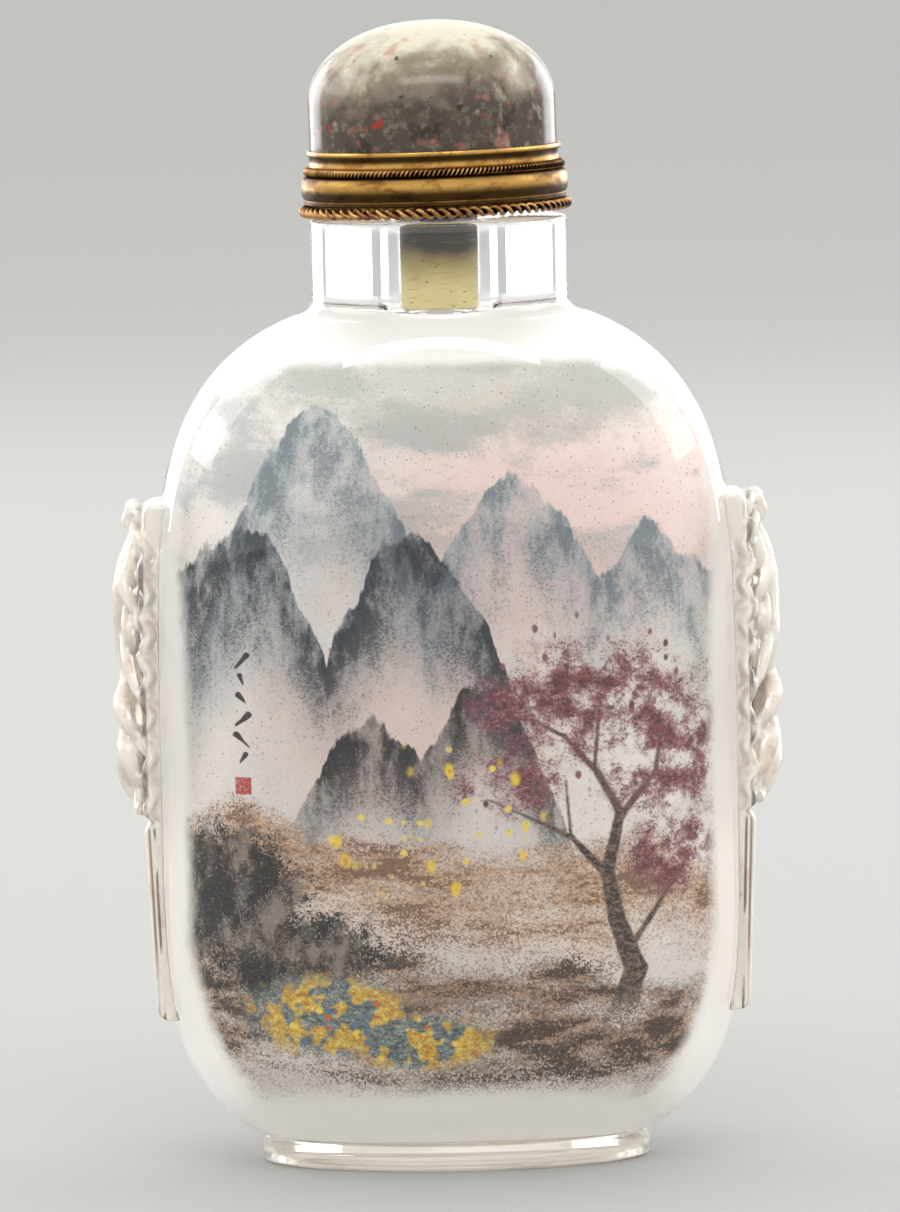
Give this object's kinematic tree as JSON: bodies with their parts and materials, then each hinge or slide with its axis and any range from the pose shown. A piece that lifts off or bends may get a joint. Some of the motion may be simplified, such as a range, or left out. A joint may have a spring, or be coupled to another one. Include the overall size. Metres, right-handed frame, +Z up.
{
  "type": "snuff bottle",
  "caption": "Hollow flattened crystal snuff bottle with carved dragon side panels, an oval foot and a domed stone stopper in a brass collar.",
  "frame": {"origin": "middle of the foot's underside, on the surface the bottle stands on", "axes": "+Z up along the bottle's axis, +X along the wide side, +Y through the thickness towards the back"},
  "size_m": [0.051, 0.027, 0.0871],
  "materials": {
    "crystal": "clear, polished",
    "paint_film": "matt paint on the frosted inner wall",
    "cork": "fine-grained cork, matt",
    "gilt_brass": "old gilding, worn, dark in the recesses",
    "cap_stone": "polished, mottled grey brown with red flecks"
  },
  "bodies": {
    "root": {"bottle": "crystal", "cork_plug": "cork", "collar": "gilt_brass", "upper_rope_wire": "gilt_brass", "lower_rope_wire": "gilt_brass", "stopper_dome": "cap_stone"}
  },
  "joints": []
}
